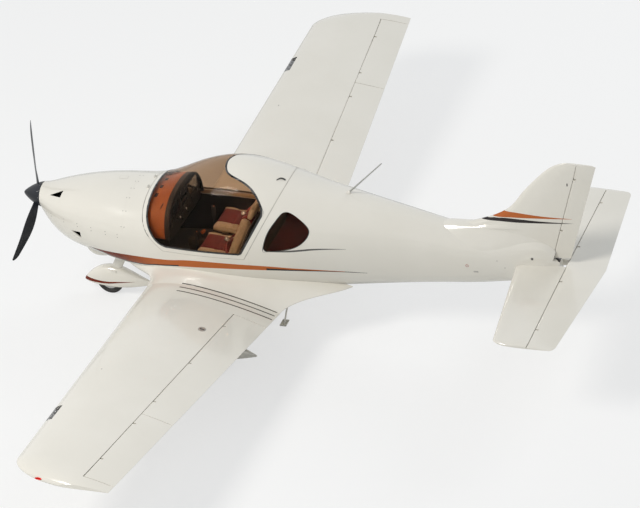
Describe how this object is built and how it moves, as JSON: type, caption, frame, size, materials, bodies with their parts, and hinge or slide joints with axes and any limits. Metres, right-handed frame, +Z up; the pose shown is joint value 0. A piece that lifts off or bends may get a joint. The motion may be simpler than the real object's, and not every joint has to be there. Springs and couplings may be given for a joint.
{
  "type": "two-seat low-wing ultralight aircraft",
  "caption": "Low-wing composite ultralight aircraft with tilting canopy, spatted tricycle gear, propeller and moving control surfaces.",
  "frame": {"origin": "on the ground, on the centreline, midway between the spinner tip and the elevator trailing edge", "axes": "+X aft, +Y starboard, +Z up"},
  "size_m": [6.45, 8.9578, 2.28],
  "materials": {
    "white_gelcoat": "gloss",
    "smoked_glass": "gloss",
    "light_glass": "gloss",
    "black_composite": "gloss",
    "wheel_metal": "satin",
    "tyre_rubber": "matte",
    "seat_leather": "satin",
    "dark_panel": "matte",
    "tan_trim": "satin",
    "cabin_trim": "matte",
    "engine_block": "matte",
    "exhaust_steel": "satin"
  },
  "bodies": {
    "airframe": {"aerial": "white_gelcoat", "cabin_floor": "cabin_trim", "centre_console": "cabin_trim", "control_sticks": "dark_panel", "cowl_lower": "white_gelcoat", "cowl_upper": "white_gelcoat", "engine": "engine_block", "engine_mount": "wheel_metal", "exhaust": "exhaust_steel", "fin": "white_gelcoat", "firewall": "white_gelcoat", "fuselage_front": "white_gelcoat", "fuselage_rear": "white_gelcoat", "glare_shield": "tan_trim", "instrument_panel": "dark_panel", "landing_lights": "light_glass", "main_leg_left": "white_gelcoat", "main_leg_right": "white_gelcoat", "main_spat_left": "white_gelcoat", "main_spat_right": "white_gelcoat", "nose_leg_socket": "wheel_metal", "quarter_windows": "smoked_glass", "root_fairings": "white_gelcoat", "seat_bench": "cabin_trim", "seat_bulkhead": "cabin_trim", "seat_left": "seat_leather", "seat_right": "seat_leather", "stabilizer": "white_gelcoat", "steps": "white_gelcoat", "wing_left": "white_gelcoat", "wing_right": "white_gelcoat", "wing_tips": "white_gelcoat"},
    "propeller": {"spinner": "black_composite", "propeller_blades": "black_composite", "drive_flange": "wheel_metal"},
    "canopy": {"canopy_frame": "white_gelcoat", "canopy_glass": "smoked_glass"},
    "flap_left": {"flap_left": "white_gelcoat"},
    "flap_right": {"flap_right": "white_gelcoat"},
    "aileron_left": {"aileron_left": "white_gelcoat"},
    "aileron_right": {"aileron_right": "white_gelcoat"},
    "elevator": {"elevator": "white_gelcoat"},
    "rudder": {"rudder": "white_gelcoat"},
    "nose_fork": {"nose_leg": "white_gelcoat", "nose_spat": "white_gelcoat"},
    "nose_wheel": {"nose_tyre": "tyre_rubber", "nose_rim": "wheel_metal"},
    "main_wheel_left": {"main_left_tyre": "tyre_rubber", "main_left_rim": "wheel_metal"},
    "main_wheel_right": {"main_right_tyre": "tyre_rubber", "main_right_rim": "wheel_metal"}
  },
  "joints": [
    {"name": "propeller_spin", "type": "hinge", "parent": "airframe", "child": "propeller", "pos_m": [-2.99, 0, 1.18], "axis": [1, 0, 0], "continuous": true},
    {"name": "canopy_hinge", "type": "hinge", "parent": "airframe", "child": "canopy", "pos_m": [-1.69, 0, 1.504], "axis": [0, -1, 0], "range_deg": [0, 55]},
    {"name": "flap_right_hinge", "type": "hinge", "parent": "airframe", "child": "flap_right", "pos_m": [-0.42795, 1.0967, 0.6739], "axis": [-0.0697, 0.9913, 0.1119], "range_deg": [0, 35]},
    {"name": "flap_left_hinge", "type": "hinge", "parent": "airframe", "child": "flap_left", "pos_m": [-0.5722, -3.14883, 0.90554], "axis": [0.0697, 0.9913, -0.1119], "range_deg": [0, 35]},
    {"name": "aileron_right_hinge", "type": "hinge", "parent": "airframe", "child": "aileron_right", "pos_m": [-0.5722, 3.14883, 0.90554], "axis": [-0.07, 0.9916, 0.1083], "range_deg": [-20, 20]},
    {"name": "aileron_left_hinge", "type": "hinge", "parent": "airframe", "child": "aileron_left", "pos_m": [-0.65607, -4.33682, 1.03529], "axis": [0.07, 0.9916, -0.1083], "range_deg": [-20, 20]},
    {"name": "elevator_hinge", "type": "hinge", "parent": "airframe", "child": "elevator", "pos_m": [2.846, 0, 1.034], "axis": [0, 1, 0], "range_deg": [-26, 20]},
    {"name": "nose_steer", "type": "hinge", "parent": "airframe", "child": "nose_fork", "pos_m": [-2.365, 0, 0.15], "axis": [0.4699, 0, 0.8827], "range_deg": [-20, 20]},
    {"name": "rudder_hinge", "type": "hinge", "parent": "airframe", "child": "rudder", "pos_m": [2.695, 0, 1.135], "axis": [0.2637, 0, 0.9646], "range_deg": [-26, 26]},
    {"name": "nose_wheel_spin", "type": "hinge", "parent": "nose_fork", "child": "nose_wheel", "pos_m": [-2.365, 0, 0.15], "axis": [0, 1, 0], "continuous": true},
    {"name": "main_wheel_left_spin", "type": "hinge", "parent": "airframe", "child": "main_wheel_left", "pos_m": [-0.775, -1.045, 0.175], "axis": [0, 1, 0], "continuous": true},
    {"name": "main_wheel_right_spin", "type": "hinge", "parent": "airframe", "child": "main_wheel_right", "pos_m": [-0.775, 1.045, 0.175], "axis": [0, 1, 0], "continuous": true}
  ],
  "couplings": [
    {"joint": "flap_left_hinge", "follows": "flap_right_hinge", "ratio": 1},
    {"joint": "aileron_left_hinge", "follows": "aileron_right_hinge", "ratio": -1},
    {"joint": "rudder_hinge", "follows": "nose_steer", "ratio": -1.3}
  ]
}
